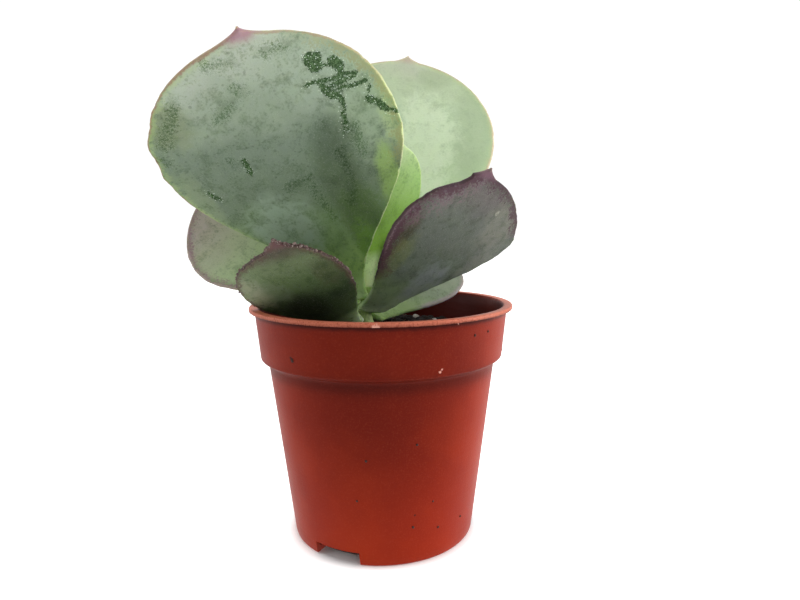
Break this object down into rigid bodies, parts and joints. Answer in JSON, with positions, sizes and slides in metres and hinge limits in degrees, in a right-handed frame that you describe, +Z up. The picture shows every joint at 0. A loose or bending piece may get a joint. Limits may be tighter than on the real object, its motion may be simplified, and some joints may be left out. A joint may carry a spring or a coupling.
{
  "type": "potted kalanchoe",
  "caption": "Young kalanchoe with broad fleshy paddle leaves in crossed pairs on a short stem, standing in soil in a tapered plastic nursery pot.",
  "frame": {"origin": "centre of the pot's flat underside, where it stands", "axes": "+Z up along the pot's axis, -Y the front, towards which the view looks, +X to the right"},
  "size_m": [0.0704, 0.0614, 0.1039],
  "materials": {
    "pot": "thin moulded terracotta-red plastic, satin to matt",
    "soil": null,
    "stem": "smooth fleshy green stem",
    "large_front_leaf": "fleshy leaf with a powdery grey-green bloom",
    "large_back_leaf": "fleshy leaf, pale whitish green",
    "right_leaf": "fleshy leaf, dark grey-green with a purple margin",
    "left_leaf": "fleshy leaf, grey-green with a mauve blush",
    "low_front_leaf": "old fleshy leaf, dark green with a corky purple-brown margin",
    "low_back_leaf": "fleshy leaf, pale grey-green",
    "inner_leaf": "young fleshy leaf, bright yellow-green"
  },
  "bodies": {
    "root": {"pot": "pot", "soil": "soil", "stem": "stem", "large_front_leaf": "large_front_leaf", "large_back_leaf": "large_back_leaf", "right_leaf": "right_leaf", "left_leaf": "left_leaf", "low_front_leaf": "low_front_leaf", "low_back_leaf": "low_back_leaf", "inner_right_leaf": "inner_leaf", "inner_left_leaf": "inner_leaf"}
  },
  "joints": []
}
